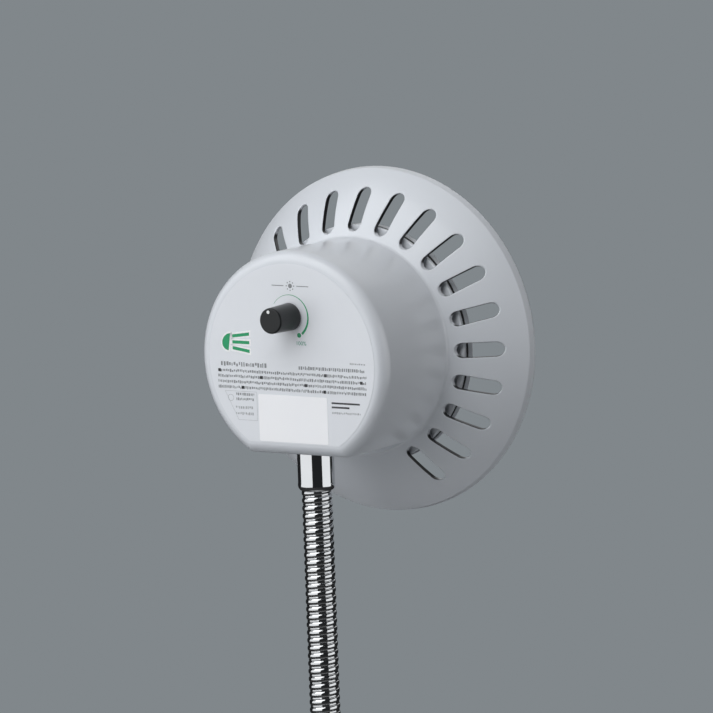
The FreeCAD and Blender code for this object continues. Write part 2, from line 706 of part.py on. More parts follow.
def lock_nut(seat_z, way):
    low, high = sorted((seat_z - way * WASHER_THICK,
                        seat_z - way * (WASHER_THICK + NUT_HEIGHT)))
    nut = hexagon(Z_AXIS, NUT_ACROSS_FLATS, low, high - low)
    return nut.cut(rod(Z_AXIS, NIPPLE_R + 0.02, low - 1, high + 1))


# ---------------------------------------------------------------- gooseneck
def ridged_tube(bottom, top):
    """Round bar with square-shouldered ridges at the winding's pitch."""
    points = [(0, bottom), (VALLEY_R, bottom)]
    count = int((top - bottom) / RIDGE_PITCH)
    first = bottom + ((top - bottom) - count * RIDGE_PITCH) / 2
    for i in range(count):
        z = first + i * RIDGE_PITCH
        points += [(VALLEY_R, z + 0.3), (NECK_R, z + 1.1),
                   (NECK_R, z + RIDGE_PITCH - 1.1), (VALLEY_R, z + RIDGE_PITCH - 0.3)]
    points += [(VALLEY_R, top), (0, top)]
    return turned(Z_AXIS, *points)


def neck_tube(index):
    """One rigid length: a socket over the hinge point below, a ball at the one above."""
    bore_low, bore_high = NECK_BOTTOM - TUBE_IN_FERRULE, NECK_TOP + TUBE_IN_FERRULE
    if index == 0:
        body = rod(Z_AXIS, VALLEY_R, bore_low, NECK_BOTTOM + 0.2)
        low = NECK_BOTTOM + 0.2
    else:
        body = None
        low = JOINT_Z[index - 1] + CUP_LIP
    if index == JOINT_COUNT:
        high = NECK_TOP - 0.2
    else:
        high = JOINT_Z[index] - BALL_NECK
    tube = ridged_tube(low, high)
    if body:
        tube = tube.fuse(body)
    if index == JOINT_COUNT:
        tube = tube.fuse(rod(Z_AXIS, VALLEY_R, high, bore_high))
    else:
        hinge = V(0, 0, JOINT_Z[index])
        tube = tube.fuse(rod(Z_AXIS, VALLEY_R, high, JOINT_Z[index]))
        tube = tube.fuse(Part.makeSphere(VALLEY_R, hinge, Z_AXIS, 0, 90, 360))
    if index > 0:
        tube = tube.cut(Part.makeSphere(CUP_R, V(0, 0, JOINT_Z[index - 1])))
    return tube.cut(rod(Z_AXIS, NECK_BORE_R, bore_low - 1, bore_high + 1)).removeSplitter()


def neck_lead(index):
    """The lead inside one rigid length. The two end pieces run on to their terminals."""
    if 0 < index < JOINT_COUNT:
        return rod(Z_AXIS, LEAD_R, JOINT_Z[index - 1] + LEAD_START, JOINT_Z[index] - LEAD_GAP)
    if index == 0:
        return cable([V(0, 0, JOINT_Z[0] - LEAD_GAP), V(0, 0, LEAD_FOOT_Z),
                      V(0, LEAD_FOOT_Y, LEAD_FOOT_Z)], LEAD_R)
    flat = NECK_TOP + FERRULE_LENGTH
    return cable([V(0, 0, JOINT_Z[-1] + LEAD_START), V(0, 0, flat + 13),
                  V(8, 9, flat + 20), V(10, 11.7, flat + 26)], LEAD_R)


# ---------------------------------------------------------------- base
def base_cover():
    """Shallow dish with a centre boss, three fixing pillars and a cable hole."""
    inner_top = BASE_SIDE_H - BASE_WALL
    dish = turned(
        Z_AXIS, (0, 0), (BASE_R, 0), (BASE_R, BASE_SIDE_H - 4.0),
        ((BASE_R - 1.17, BASE_SIDE_H - 1.17), (BASE_R - 4.0, BASE_SIDE_H)),
        (BOSS_TOP_R + 9, BASE_SIDE_H + 2.0),
        ((BOSS_TOP_R + 2.2, BASE_SIDE_H + 4.6), (BOSS_TOP_R, BASE_H)), (0, BASE_H))
    room = turned(
        Z_AXIS, (0, -1), (BASE_R - BASE_WALL, -1), (BASE_R - BASE_WALL, inner_top - 1.5),
        (BASE_R - BASE_WALL - 1.5, inner_top), (BOSS_TOP_R + 6, inner_top + 2.0),
        (BOSS_TOP_R - BASE_WALL, BASE_H - BASE_WALL - 3),
        (BOSS_TOP_R - BASE_WALL, BASE_H - BASE_WALL), (0, BASE_H - BASE_WALL))
    cover = dish.cut(room)
    for degrees in FIXING_ANGLES:
        x, y = around(FIXING_PCD / 2, degrees)
        cover = cover.fuse(rod(Z_AXIS, 6.0, 0, BASE_SIDE_H - 1, x, y).common(dish))
        cover = cover.cut(rod(Z_AXIS, FIXING_R, -1, BASE_H, x, y))
        cover = cover.cut(rod(Z_AXIS, 5.0, BASE_SIDE_H - 3.5, BASE_H, x, y))
    for degrees in PLATE_SCREW_ANGLES:
        x, y = around(PLATE_SCREW_R, degrees)
        cover = cover.fuse(rod(Z_AXIS, 3.6, PLATE_THICK, BASE_SIDE_H - 1, x, y))
        cover = cover.cut(rod(Z_AXIS, PILOT_R, -1, BASE_SIDE_H - 3, x, y))
    cover = cover.cut(rod(Z_AXIS, NIPPLE_R + GAP, 0, BASE_H + 1))
    cover = cover.cut(rod(Y_AXIS, GROMMET_R + GAP, -BASE_R - 1, -BASE_R + 6, 0, GROMMET_Z))
    return cover.removeSplitter()


def base_plate():
    """Steel plate that closes the dish from below."""
    plate = rod(Z_AXIS, BASE_R - BASE_WALL - 0.2, 0, PLATE_THICK)
    for degrees in FIXING_ANGLES:
        x, y = around(FIXING_PCD / 2, degrees)
        plate = plate.cut(rod(Z_AXIS, 6.2, -1, PLATE_THICK + 1, x, y))
    for degrees in PLATE_SCREW_ANGLES:
        x, y = around(PLATE_SCREW_R, degrees)
        plate = plate.cut(rod(Z_AXIS, SCREW_R + GAP, -1, PLATE_THICK + 1, x, y))
        plate = plate.cut(rod(Z_AXIS, SCREW_HEAD_R + 0.1, -1, 1.2, x, y))
    return plate


def base_plate_screws():
    screws = []
    for degrees in PLATE_SCREW_ANGLES:
        x, y = around(PLATE_SCREW_R, degrees)
        head = rod(Z_AXIS, SCREW_HEAD_R, 0.2, 1.2, x, y)
        screws.append(head.fuse(rod(Z_AXIS, PILOT_R - 0.02, 0.7, 8.0, x, y)))
    return Part.makeCompound(screws)


def cord_grommet():
    """Rubber bush that lines the cable hole in the dish's rear wall."""
    outside = -BASE_R
    inside = -BASE_R + BASE_WALL
    bush = turned(
        Y_AXIS, (GROMMET_BORE_R, outside - 2.0), (GROMMET_R + 1.0, outside - 1.5),
        (GROMMET_R + 1.4, outside - 0.3), (GROMMET_R, outside - 0.3),
        (GROMMET_R, inside + 0.3), (GROMMET_R + 1.0, inside + 0.3),
        (GROMMET_R + 0.8, inside + 1.8), (GROMMET_BORE_R, inside + 1.8))
    return bush.translated(V(0, 0, GROMMET_Z))


def base_terminal_block():
    """Where the supply cable would join the lead. Its clamp screws face down."""
    x0, y0, height = -7.5, LEAD_FOOT_Y + 0.2, 8.0
    body = terminal_block(x0, y0, PLATE_THICK, height)
    for x in (x0 + 4, x0 + 11):
        body = body.cut(rod(Y_AXIS, 1.7, y0 + 6, y0 + 11, x, PLATE_THICK + 4))
        body = body.cut(rod(Z_AXIS, 1.8, PLATE_THICK - 1, PLATE_THICK + 2, x, y0 + 3))
    return body


# ---------------------------------------------------------------- assembly
def head_pieces():
    pieces = [
        rear_housing, shade, mounting_ring, housing_screws, control_label, rating_sticker,
        dimmer_switch, dimmer_washer, dimmer_nut, dimmer_shaft, dimmer_knob, knob_index_dot,
        driver_board, driver_screws, driver_transformer,
        driver_capacitors, driver_choke, driver_terminal_block, led_wires,
        dimmer_wires, module_frame, heat_sink, module_screws, led_board, led_chips,
        reflector_plate, front_lens, lens_gasket, lens_bezel]
    return {piece.__name__: in_head(piece()) for piece in pieces}


def neck_pieces():
    flat = NECK_TOP + FERRULE_LENGTH
    pieces = {
        "upper_ferrule": ferrule(flat, -1),
        "upper_nipple": nipple(flat, -1),
        "upper_lock_washer": washer(flat + WALL, -1),
        "upper_lock_nut": lock_nut(flat + WALL, -1),
        "lower_ferrule": ferrule(BASE_H, 1),
        "lower_nipple": nipple(BASE_H, 1),
        "lower_lock_washer": washer(BASE_H - BASE_WALL, 1),
        "lower_lock_nut": lock_nut(BASE_H - BASE_WALL, 1)}
    for index in range(JOINT_COUNT + 1):
        pieces[f"neck_tube_{index + 1}"] = neck_tube(index)
        pieces[f"neck_lead_{index + 1}"] = neck_lead(index)
    return pieces


def base_pieces():
    pieces = [base_cover, base_plate, base_plate_screws, cord_grommet,
              base_terminal_block]
    return {piece.__name__: piece() for piece in pieces}


def main():
    os.makedirs("parts", exist_ok=True)
    pieces = {**head_pieces(), **neck_pieces(), **base_pieces()}
    for name, shape in pieces.items():
        if not shape.isValid() or shape.Volume <= 0:
            raise ValueError(f"{name} is not a sound solid")
        shape.exportStep(f"parts/{name}.step")
        print(f"{name}: {len(shape.Solids)} solid(s), {shape.Volume / 1000:.2f} cm3")


main()
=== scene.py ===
import json
import math
import random

import bmesh
import bpy
from mathutils import Matrix, Vector


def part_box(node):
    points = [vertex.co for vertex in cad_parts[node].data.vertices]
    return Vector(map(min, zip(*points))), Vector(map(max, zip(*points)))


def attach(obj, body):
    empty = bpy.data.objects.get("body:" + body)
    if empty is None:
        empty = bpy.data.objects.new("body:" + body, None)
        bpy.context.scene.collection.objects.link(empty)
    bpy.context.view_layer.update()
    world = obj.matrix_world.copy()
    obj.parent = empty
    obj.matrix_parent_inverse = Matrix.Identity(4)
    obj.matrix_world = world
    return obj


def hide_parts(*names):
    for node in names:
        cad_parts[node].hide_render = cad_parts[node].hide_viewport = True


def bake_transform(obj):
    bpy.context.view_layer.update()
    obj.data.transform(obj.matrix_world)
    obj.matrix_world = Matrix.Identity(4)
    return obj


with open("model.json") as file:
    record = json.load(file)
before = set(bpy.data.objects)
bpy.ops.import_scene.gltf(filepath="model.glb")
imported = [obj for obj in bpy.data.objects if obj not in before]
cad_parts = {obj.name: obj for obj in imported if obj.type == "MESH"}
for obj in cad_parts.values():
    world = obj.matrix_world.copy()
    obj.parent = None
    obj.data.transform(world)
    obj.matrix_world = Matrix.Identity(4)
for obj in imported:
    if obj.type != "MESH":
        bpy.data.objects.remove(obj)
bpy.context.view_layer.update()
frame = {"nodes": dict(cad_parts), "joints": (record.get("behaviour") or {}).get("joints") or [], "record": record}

MM = 0.001

# ---------------------------------------------------------------- places from the frame
drum_low, drum_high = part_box("rear_housing")
shade_low, shade_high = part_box("shade")
film_low, film_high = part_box("control_label")
knob_low, knob_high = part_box("dimmer_knob")
ferrule_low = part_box("upper_ferrule")[0]
foot_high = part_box("lower_ferrule")[1]
tube_low, tube_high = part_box("neck_tube_2")
base_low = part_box("base_cover")[0]

DRUM_R = (drum_high.x - drum_low.x) / 2
AXIS_Z = drum_high.z - DRUM_R               # height of the lamp's own axis
FILM_Y = film_low.y                         # printed side of the label film
KNOB_Z = (knob_low.z + knob_high.z) / 2
NECK_BOTTOM = foot_high.z
NECK_TOP = ferrule_low.z
NECK_R = (tube_high.x - tube_low.x) / 2
RIM_Y = shade_high.y - 5.5 * MM             # plane of the shade's rear rim edge
WEB_LIP = 2.0 * MM                          # from the shade's rear end to its flare
JOINTS = [joint for joint in frame["joints"] if joint["name"].startswith("neck_bend")]


# ---------------------------------------------------------------- materials
NOISE_LOW, NOISE_HIGH = 0.3, 0.7    # most of a noise texture's values lie between these


def link(tree, source, output, target, entry):
    tree.links.new(source.outputs[output], target.inputs[entry])


def noise(tree, place, scale):
    texture = tree.nodes.new("ShaderNodeTexNoise")
    texture.inputs["Scale"].default_value = scale
    texture.inputs["Detail"].default_value = 2.0
    link(tree, place, "Object", texture, "Vector")
    return texture


def ramp(tree, texture, dark, light):
    """Colours between dark and light, following the noise."""
    colours = tree.nodes.new("ShaderNodeValToRGB")
    colours.color_ramp.elements[0].position = NOISE_LOW
    colours.color_ramp.elements[1].position = NOISE_HIGH
    colours.color_ramp.elements[0].color = (*dark, 1)
    colours.color_ramp.elements[1].color = (*light, 1)
    link(tree, texture, "Fac", colours, "Fac")
    return colours


def between(tree, value, low, high, to_low=0.0, to_high=1.0):
    """value, moved from the range low to high to the range to_low to to_high."""
    numbers = tree.nodes.new("ShaderNodeMapRange")
    numbers.inputs["From Min"].default_value = low
    numbers.inputs["From Max"].default_value = high
    numbers.inputs["To Min"].default_value = to_low
    numbers.inputs["To Max"].default_value = to_high
    tree.links.new(value, numbers.inputs["Value"])
    return numbers.outputs["Result"]


def material(name, colour, roughness, metallic=0.0, shift=0.03, patch=40.0, grain=2500.0,
             bump=0.05, depth=0.02 * MM, **sockets):
    """One surface: a colour that varies a little in patches, roughness that varies with
    it, and a fine grain in the normals. sockets set the shader's own even values."""
    made = bpy.data.materials.new(name)
    made.use_nodes = True
    tree = made.node_tree
    shader = tree.nodes["Principled BSDF"]
    place = tree.nodes.new("ShaderNodeTexCoord")
    patches = noise(tree, place, patch)
    dark = [max(0.0, part * (1 - shift)) for part in colour]
    light = [min(1.0, part * (1 + shift)) for part in colour]
    link(tree, ramp(tree, patches, dark, light), "Color", shader, "Base Color")
    tree.links.new(between(tree, patches.outputs["Fac"], NOISE_LOW, NOISE_HIGH, *roughness),
                   shader.inputs["Roughness"])
    fine = noise(tree, place, grain)
    lift = tree.nodes.new("ShaderNodeBump")
    lift.inputs["Strength"].default_value = bump
    lift.inputs["Distance"].default_value = depth
    link(tree, fine, "Fac", lift, "Height")
    link(tree, lift, "Normal", shader, "Normal")
    shader.inputs["Metallic"].default_value = metallic
    for entry, value in sockets.items():
        shader.inputs[entry.replace("_", " ")].default_value = value
    return made


def white_plastic(name):
    return material(name, (0.73, 0.753, 0.795), (0.275, 0.295), shift=0.004, patch=25.0,
                    bump=0.07, Coat_Weight=0.25, Coat_Roughness=0.12)


def make_materials():
    return {
        "housing_white": white_plastic("housing_white"),
        "base_white": material(
            "base_white", (0.73, 0.74, 0.755), (0.30, 0.40), shift=0.015, grain=900.0,
            bump=0.16, depth=0.05 * MM),
        "label_film": material(
            "label_film", (0.785, 0.803, 0.845), (0.32, 0.36), shift=0.008, grain=4000.0,
            bump=0.04, Specular_IOR_Level=0.9),
        "sticker_paper": material(
            "sticker_paper", (0.97, 0.97, 1.0), (0.30, 0.40), shift=0.01, grain=1800.0,
            bump=0.06, Specular_IOR_Level=1.0),
        "knob_black": material(
            "knob_black", (0.006, 0.007, 0.008), (0.27, 0.33), shift=0.15, bump=0.06,
            depth=0.03 * MM, Specular_IOR_Level=0.46),
        "index_white": material("index_white", (0.85, 0.85, 0.85), (0.4, 0.5)),
        "chrome": material(
            "chrome", (0.86, 0.87, 0.885), (0.035, 0.07), metallic=1.0, shift=0.02,
            patch=60.0, grain=300.0, bump=0.01),
        "gooseneck_chrome": material(
            "gooseneck_chrome", (0.84, 0.85, 0.86), (0.06, 0.12), metallic=1.0, shift=0.05,
            patch=120.0, grain=900.0, bump=0.03),
        "zinc_steel": material(
            "zinc_steel", (0.55, 0.56, 0.57), (0.28, 0.42), metallic=1.0, shift=0.08,
            patch=200.0, bump=0.08),
        "brass": material(
            "brass", (0.72, 0.53, 0.25), (0.22, 0.36), metallic=1.0, shift=0.06,
            patch=180.0, bump=0.06),
        "board_green": material(
            "board_green", (0.02, 0.16, 0.06), (0.28, 0.38), shift=0.2, patch=350.0,
            bump=0.08),
        "ferrite": material(
            "ferrite", (0.035, 0.035, 0.04), (0.5, 0.7), shift=0.2, patch=300.0, bump=0.2),
        "capacitor_sleeve": material(
            "capacitor_sleeve", (0.015, 0.03, 0.10), (0.22, 0.32), shift=0.15, bump=0.05),
        "copper_winding": material(
            "copper_winding", (0.55, 0.20, 0.07), (0.22, 0.34), metallic=0.8, shift=0.15,
            patch=900.0, bump=0.25),
        "terminal_grey": material(
            "terminal_grey", (0.30, 0.32, 0.35), (0.4, 0.5), shift=0.06, bump=0.08),
        "wire_white": material(
            "wire_white", (0.72, 0.72, 0.70), (0.4, 0.5), shift=0.04, bump=0.05),
        "lead_grey": material(
            "lead_grey", (0.10, 0.10, 0.11), (0.5, 0.62), shift=0.1, bump=0.1),
        "sink_aluminium": material(
            "sink_aluminium", (0.68, 0.69, 0.70), (0.30, 0.45), metallic=1.0, shift=0.06,
            patch=90.0, grain=1400.0, bump=0.12),
        "led_board_white": material(
            "led_board_white", (0.80, 0.81, 0.80), (0.26, 0.34), shift=0.02, bump=0.04),
        "led_package": material(
            "led_package", (0.88, 0.72, 0.16), (0.22, 0.32), shift=0.10, patch=500.0,
            bump=0.05),
        "reflector": material(
            "reflector", (0.86, 0.87, 0.88), (0.07, 0.15), metallic=1.0, shift=0.03,
            patch=110.0, grain=500.0, bump=0.04),
        "lens_clear": lens_material(),
        "gasket_black": material(
            "gasket_black", (0.018, 0.018, 0.02), (0.55, 0.7), shift=0.15, bump=0.2),
        "dimmer_metal": material(
            "dimmer_metal", (0.55, 0.55, 0.56), (0.3, 0.45), metallic=1.0, shift=0.08,
            bump=0.1),
    }


def maths(tree, kind, operation, *entries):
    """A math node, with numbers or sockets for its entries. kind is Math or VectorMath."""
    node = tree.nodes.new("ShaderNode" + kind)
    node.operation = operation
    for k, entry in enumerate(entries):
        if isinstance(entry, bpy.types.NodeSocket):
            tree.links.new(entry, node.inputs[k])
        else:
            node.inputs[k].default_value = entry
    number = kind == "Math" or operation in ("DOT_PRODUCT", "LENGTH")
    return node.outputs["Value" if number else "Vector"]


FLARE_BULGE = 2.8 * MM      # the flare's outside swells this far beyond a straight cone
PAINTED_SHADE_FROM = 1.3 * MM        # painted shade on the slots' side walls starts this deep, and is full at the next depth
PAINTED_SHADE_FULL = 1.8 * MM
SIDEWAYS = (0.6, 0.8)       # a wall counts as a slot's side from here to here
# near-black colour of the painted shade on the slots' side walls
SLOT_PAINTED_SHADE = (0.010, 0.010, 0.012, 1)
COLOUR_A, COLOUR_B, COLOUR_OUT = 6, 7, 2    # colour sockets of a Mix node


def paint_slot_wall_shade(surface):
    """Paints shade on the slots' side walls: near black along their inner edges, where shade falls."""
    tree = surface.node_tree
    shader = tree.nodes["Principled BSDF"]
    place = tree.nodes.new("ShaderNodeTexCoord")
    split = tree.nodes.new("ShaderNodeSeparateXYZ")
    link(tree, place, "Object", split, 0)
    from_axis = maths(tree, "VectorMath", "MULTIPLY", maths(
        tree, "VectorMath", "SUBTRACT", place.outputs["Object"], (0, 0, AXIS_Z)), (1, 0, 1))
    round_way = maths(tree, "VectorMath", "NORMALIZE", maths(
        tree, "VectorMath", "CROSS_PRODUCT", (0, 1, 0), from_axis))
    facing = maths(tree, "VectorMath", "DOT_PRODUCT", place.outputs["Normal"], round_way)
    side_wall = between(tree, maths(tree, "Math", "ABSOLUTE", facing), *SIDEWAYS)
    share = between(tree, maths(tree, "VectorMath", "LENGTH", from_axis),
                    DRUM_R, shade_high.x)
    straight = between(tree, share, 0.0, 1.0, shade_low.y + WEB_LIP, RIM_Y)
    swell = maths(tree, "Math", "MULTIPLY", maths(
        tree, "Math", "MULTIPLY", share, maths(tree, "Math", "SUBTRACT", 1.0, share)),
        4 * FLARE_BULGE)
    depth = maths(tree, "Math", "ADD", maths(
        tree, "Math", "SUBTRACT", split.outputs["Y"], straight), swell)
    # painted shade: how far each point of a slot's side wall goes towards near black
    dark = maths(tree, "Math", "MULTIPLY", side_wall,
                 between(tree, depth, PAINTED_SHADE_FROM, PAINTED_SHADE_FULL))
    mix = tree.nodes.new("ShaderNodeMix")
    mix.data_type = "RGBA"
    tree.links.new(dark, mix.inputs[0])
    tree.links.new(shader.inputs["Base Color"].links[0].from_socket, mix.inputs[COLOUR_A])
    mix.inputs[COLOUR_B].default_value = SLOT_PAINTED_SHADE
    tree.links.new(mix.outputs[COLOUR_OUT], shader.inputs["Base Color"])
    return surface


def lens_material():
    """Clear polycarbonate with a very slight haze."""
    return material(
        "lens_clear", (0.97, 0.98, 0.985), (0.015, 0.04), shift=0.004, grain=150.0,
        bump=0.01, Transmission_Weight=1.0, IOR=1.45)


def print_material(name, colour):
    """Screen-printed ink with slightly uneven cover."""
    return material(name, colour, (0.42, 0.55), shift=0.08, patch=900.0, bump=0.06)


def dress_cad_nodes(materials):
    slots = {row["node"]: row["material_slot"] for row in frame["record"]["subparts"]}
    for name, node in frame["nodes"].items():
        node.data.materials.clear()
        node.data.materials.append(materials[slots[name]])
    shade = frame["nodes"]["shade"]
    # The shade gets its own white plastic, with painted shade on its slot walls.
    shade.data.materials[0] = paint_slot_wall_shade(white_plastic("shade_white_painted_slot_shade"))


# ---------------------------------------------------------------- gooseneck
PITCH = 4.15 * MM           # one turn of the winding
RIDGE = 0.85 * MM           # the beads stand this far out of the grooves
NECK_CORE_R = 5.2 * MM      # inside of the drawn tube
IN_FERRULE = 5.0 * MM       # the winding runs on, ground smooth, into each ferrule
WIDE_BEAD = 0.72            # share of a turn that the wide bead takes
LOW_BEAD = 0.45             # height of the narrow bead, as a share of the wide one's
BEAD_FADE = 0.4 * MM        # the beads rise to full height over this length at each end
RINGS_PER_TURN = 20
ROUND = 44


def winding_r(z, angle):
    """Radius of the wound tube: a wide round bead and a low narrow one, in a helix."""
    turn = ((z - NECK_BOTTOM) / PITCH - angle / (2 * math.pi)) % 1.0
    if turn < WIDE_BEAD:
        off_crest = abs(2 * turn / WIDE_BEAD - 1)
        bead = math.sqrt(max(0.0, 1 - off_crest ** 2.2))
    else:
        off_crest = abs(2 * (turn - WIDE_BEAD) / (1 - WIDE_BEAD) - 1)
        bead = LOW_BEAD * math.sqrt(max(0.0, 1 - off_crest ** 2))
    ends = min(z - NECK_BOTTOM, NECK_TOP - z) / BEAD_FADE
    groove_r = NECK_R - RIDGE
    return groove_r + RIDGE * bead * min(1.0, max(0.0, ends))


def neck_piece(name, low, high):
    """Closed tube from low to high: wound outside, plain bore inside."""
    mesh = bmesh.new()
    count = round((high - low) / PITCH * RINGS_PER_TURN)
    heights = [low + (high - low) * i / count for i in range(count + 1)]
    angles = [2 * math.pi * k / ROUND for k in range(ROUND)]

    def ring(z, radius_at):
        return [mesh.verts.new((radius_at(a) * math.cos(a), radius_at(a) * math.sin(a), z))
                for a in angles]

    outer = [ring(z, lambda a, z=z: winding_r(z, a)) for z in heights]
    inner = [ring(z, lambda a: NECK_CORE_R) for z in reversed(heights)]
    rings = outer + inner
    for lower, upper in zip(rings, rings[1:] + rings[:1]):
        for k in range(ROUND):
            after = (k + 1) % ROUND
            mesh.faces.new((lower[k], lower[after], upper[after], upper[k]))
    return finish_mesh(mesh, name)


def finish_mesh(mesh, name, smooth=True):
    bmesh.ops.recalc_face_normals(mesh, faces=mesh.faces)
    data = bpy.data.meshes.new(name)
    mesh.to_mesh(data)
    mesh.free()
    for face in data.polygons:
        face.use_smooth = smooth
    piece = bpy.data.objects.new(name, data)
    bpy.context.scene.collection.objects.link(piece)
    return piece


def gooseneck(materials):
    """One piece over each hinge, from the middle of one length to the middle of the next."""
    places = [joint["pos_m"][2] for joint in JOINTS]
    middles = [(a + b) / 2 for a, b in zip(places, places[1:])]
    lows = [NECK_BOTTOM - IN_FERRULE] + middles
    highs = middles + [NECK_TOP + IN_FERRULE]
    for i, joint in enumerate(JOINTS):
        piece = neck_piece(f"gooseneck_{i + 1}", lows[i], highs[i])
        piece.data.materials.append(materials["gooseneck_chrome"])
        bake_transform(piece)
        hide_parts(f"neck_tube_{i + 1}")
        if i == len(JOINTS) - 1:
            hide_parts(f"neck_tube_{i + 2}")


# ---------------------------------------------------------------- printing on the film
INK = 0.05 * MM             # a print stands this far off the film
SCALE_R = 11.5              # brightness scale about the knob, in millimetres
FILM_MARGIN = 1.5           # small print stays this far inside the film, in millimetres


class Print:
    """Flat marks of one ink. Places are millimetres right of and above the lamp's axis."""

    def __init__(self, height=INK):
        self.mesh = bmesh.new()
        self.front = FILM_Y - height
        self.back = FILM_Y

    def outline(self, points):
        front = [self.mesh.verts.new((x * MM, self.front, AXIS_Z + z * MM)) for x, z in points]
        back = [self.mesh.verts.new((x * MM, self.back, AXIS_Z + z * MM)) for x, z in points]
        self.mesh.faces.new(front)
        self.mesh.faces.new(back[::-1])
        for k in range(len(points)):
            after = (k + 1) % len(points)
            self.mesh.faces.new((front[k], front[after], back[after], back[k]))

    def bar(self, x, z, width, height):
        self.outline([(x, z), (x + width, z), (x + width, z + height), (x, z + height)])

    def disc(self, x, z, radius, sides=24):
        self.outline([(x + radius * math.cos(2 * math.pi * k / sides),
                       z + radius * math.sin(2 * math.pi * k / sides)) for k in range(sides)])

    def arc(self, x, z, radius, start, end, thin, thick, steps=40):
        """Band along an arc, from start to end degrees, growing from thin to thick."""
        inner, outer = [], []
        for k in range(steps + 1):
            share = k / steps
            angle = math.radians(start + (end - start) * share)
            half = (thin + (thick - thin) * share ** 2) / 2
            for side, edge in ((-half, inner), (half, outer)):
                reach = radius + side
                edge.append((x + reach * math.cos(angle), z + reach * math.sin(angle)))
        self.outline(inner + outer[::-1])

    def ticks(self, rng, x0, x1, z, height, lengths=(0.35, 0.95), gap=(0.3, 0.55)):
        """A row of small upright ticks that stands for a line of small print."""
        x = x0
        while x < x1 - lengths[0]:
            length = min(rng.uniform(*lengths), x1 - x)
            tall = height * rng.uniform(0.55, 1.0)
            self.bar(x, z + rng.uniform(0, height - tall), length, tall)
            x += length + rng.uniform(*gap)

    def finish(self, name, ink):
        piece = finish_mesh(self.mesh, name, smooth=False)
        piece.data.materials.append(ink)
        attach(piece, "head")


def film_half_width(z):
    """Half the film's width at height z, in millimetres, with a margin."""
    film_r = (film_high.x - film_low.x) / 2 / MM
    return math.sqrt(max(0.0, film_r ** 2 - z ** 2)) - FILM_MARGIN


def lamp_symbol(marks, margin):
    """Half-round lamp with three rays, leaning a little. margin grows every shape."""
    x, z, radius, lean = -38.6, 8.9, 4.5, 0.15
    half = [(x + (radius + margin) * math.cos(math.radians(a)),
             z + (radius + margin) * math.sin(math.radians(a))) for a in range(90, 271, 10)]
    half += [(x + margin, z - radius - margin), (x + margin, z + radius + margin)]
    marks.outline([(px + lean * (pz - z), pz) for px, pz in half])
    for rise, slope in ((3.1, 0.28), (0.0, 0.0), (-3.1, -0.28)):
        start, end, thick = x + 1.9 - margin, x + 12.6 + margin, 0.85 + margin
        low, high = z + rise, z + rise + slope * (end - start) * 0.5
        marks.outline([(start, low - thick), (end, high - thick), (end, high + thick),
                       (start, low + thick)])


def print_film():
    rng = random.Random(5)
    centre = (KNOB_Z - AXIS_Z) / MM
    white = Print(height=INK * 0.5)
    lamp_symbol(white, 0.9)
    white.finish("print_white", print_material("ink_white", (0.93, 0.93, 0.95)))

    green = Print()
    green.arc(0, centre, SCALE_R, 146, -50, 0.16, 1.3)
    green.disc(5.6, 14.2, 1.25)
    lamp_symbol(green, 0.0)
    green.finish("print_green", print_material("ink_green", (0.012, 0.33, 0.13)))

    grey = Print()
    for k in range(8):
        angle = math.radians(45 * k)
        grey.disc(1.0 + 2.3 * math.cos(angle), 40.0 + 2.3 * math.sin(angle), 0.34, 10)
    grey.disc(1.0, 40.0, 1.2)
    grey.bar(-10.5, 39.8, 7.4, 0.4)
    grey.bar(5.0, 39.8, 7.4, 0.4)
    grey.ticks(rng, -44.5, -15.5, -4.0, 2.4, (0.5, 1.3), (0.45, 0.8))
    grey.ticks(rng, 4.5, 45.5, -3.9, 1.9, (0.4, 1.1), (0.35, 0.6))
    for z in (-7.2, -10.1, -13.0, -15.9):
        half = film_half_width(z)
        grey.ticks(rng, -min(46.5, half), min(46.5, half), z, 1.7)
    for z in (-19.4, -22.0):
        grey.ticks(rng, -35.5, -24.0, z, 1.5)
    grey.finish("print_grey", print_material("ink_grey", (0.25, 0.26, 0.27)))

    pale = Print()
    pale.ticks(rng, 36.5, 46.0, 0.1, 1.0)
    for z in (-26.4, -29.6):
        pale.ticks(rng, -36.0, -24.5, z, 1.5)
    pale.ticks(rng, 24.5, 42.0, -26.3, 1.2)
    left, right, top, low, line = -42.5, -22.6, -17.2, -32.3, 0.14
    pale.bar(left, top, right - left, line)
    pale.bar(right, low, line, top - low)
    pale.outline([(left, top), (left + line, top), (left + line + 8.0, low),
                  (left + 8.0, low)])
    pale.bar(left + 8.0, low, right - left - 8.0, line)
    pale.arc(-39.0, -20.7, 1.7, 0, 359, 0.2, 0.2)
    pale.finish("print_lines", print_material("ink_pale", (0.42, 0.43, 0.45)))

    black = Print()
    for x, z in ((-46.3, -7.1), (20.2, -7.1), (-20.0, -10.0), (42.5, -10.0), (7.8, -12.9),
                 (-32.0, -15.8), (19.5, -15.8)):
        black.bar(x, z, 1.6, 1.6)
    black.bar(24.3, -21.0, 17.5, 0.9)
    black.bar(24.3, -23.2, 11.0, 0.9)
    black.finish("print_black", print_material("ink_black", (0.05, 0.05, 0.055)))
    dial_number()


def dial_number():
    """The number at the bright end of the dial."""
    x, z, size = 6.6, 9.0, 3.0      # millimetres, as in Print
    words = bpy.data.curves.new("dial_number_text", "FONT")
    words.body = "100%"
    words.size = size * MM
    words.align_x = "CENTER"
    words.extrude = INK / 2
    source = bpy.data.objects.new("dial_number_text", words)
    bpy.context.scene.collection.objects.link(source)
    bpy.context.view_layer.update()
    data = bpy.data.meshes.new_from_object(source.evaluated_get(
        bpy.context.evaluated_depsgraph_get()))
    bpy.data.objects.remove(source)
    upright = Matrix.Rotation(math.pi / 2, 4, "X")
    place = Matrix.Translation((x * MM, FILM_Y - INK / 2, AXIS_Z + z * MM))
    data.transform(place @ upright)
    piece = bpy.data.objects.new("dial_number", data)
    bpy.context.scene.collection.objects.link(piece)
    piece.data.materials.clear()
    piece.data.materials.append(print_material("ink_teal", (0.10, 0.36, 0.27)))
    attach(piece, "head")


